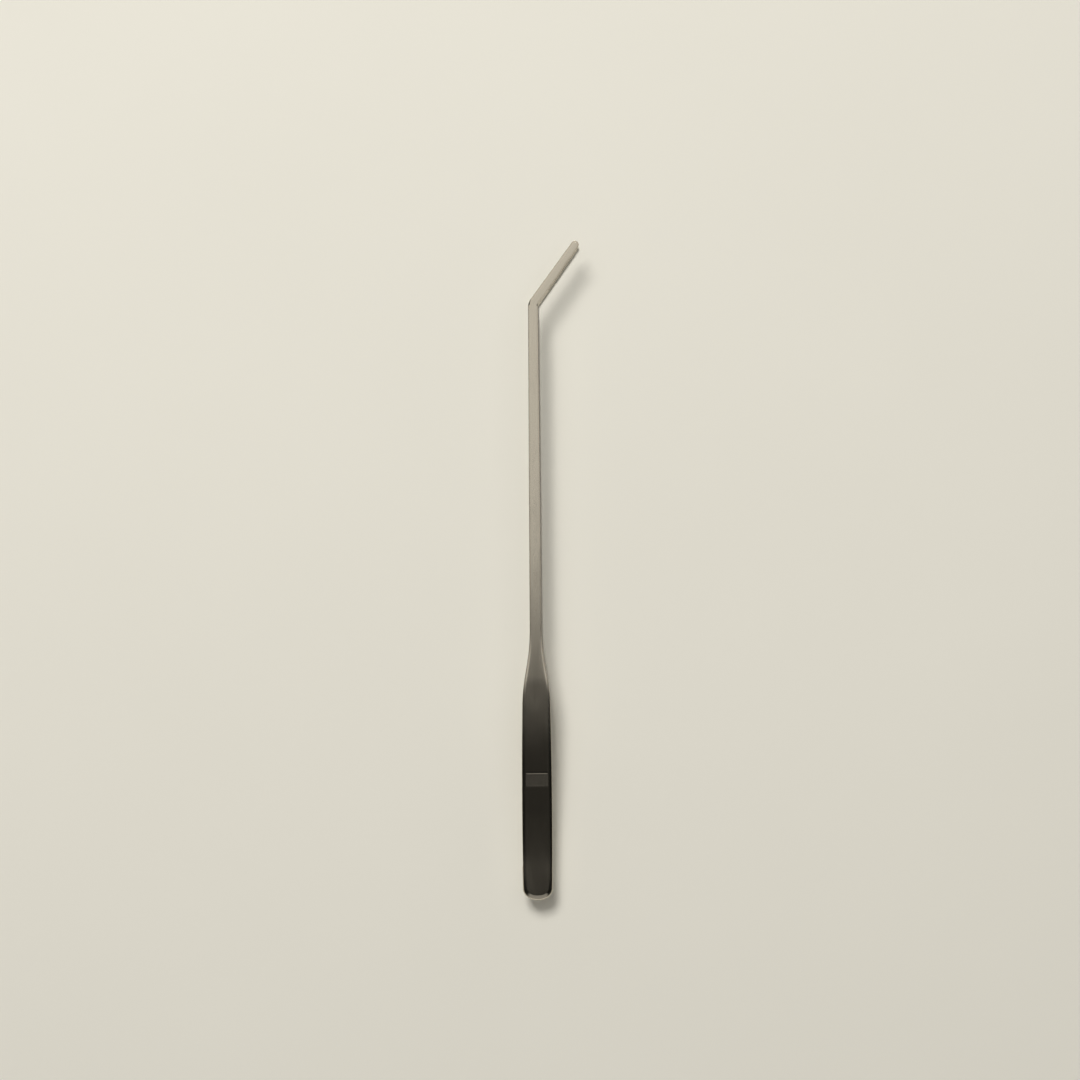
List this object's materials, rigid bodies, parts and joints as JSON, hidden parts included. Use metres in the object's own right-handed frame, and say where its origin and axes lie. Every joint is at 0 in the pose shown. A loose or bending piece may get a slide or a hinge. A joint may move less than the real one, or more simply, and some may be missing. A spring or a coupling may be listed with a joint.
{
  "type": "aquascaping tweezers",
  "caption": "Long stainless steel tweezers with a flat welded heel, two sprung arms and tips turned sideways, for planting and trimming in an aquarium.",
  "frame": {"origin": "centre of the tool's bounding box in plan, on the plane that the lower arm's flat outer face lies on", "axes": "+Y from the welded heel to the tips; +Z square to the wide faces, the direction the arms close in; +X the side the tips turn to"},
  "size_m": [0.0246, 0.2646, 0.018],
  "materials": {
    "arm_steel": "satin brushed along the strip",
    "weld_steel": "ground weld"
  },
  "bodies": {
    "heel": {"upper_arm_heel": "arm_steel", "lower_arm_heel": "arm_steel", "heel_weld": "weld_steel"},
    "upper_blade": {"upper_arm_blade": "arm_steel"},
    "lower_blade": {"lower_arm_blade": "arm_steel"}
  },
  "joints": [
    {"name": "upper_flexure", "type": "hinge", "parent": "heel", "child": "upper_blade", "pos_m": [-0.00617, -0.08825, 0.01251], "axis": [-1, 0, 0], "range_deg": [0, 1.96], "stiffness_Nm_per_rad": 8},
    {"name": "lower_flexure", "type": "hinge", "parent": "heel", "child": "lower_blade", "pos_m": [-0.00617, -0.08825, 0.00549], "axis": [1, 0, 0], "range_deg": [0, 1.96], "stiffness_Nm_per_rad": 8}
  ],
  "couplings": [
    {"joint": "lower_flexure", "follows": "upper_flexure", "ratio": 1}
  ]
}
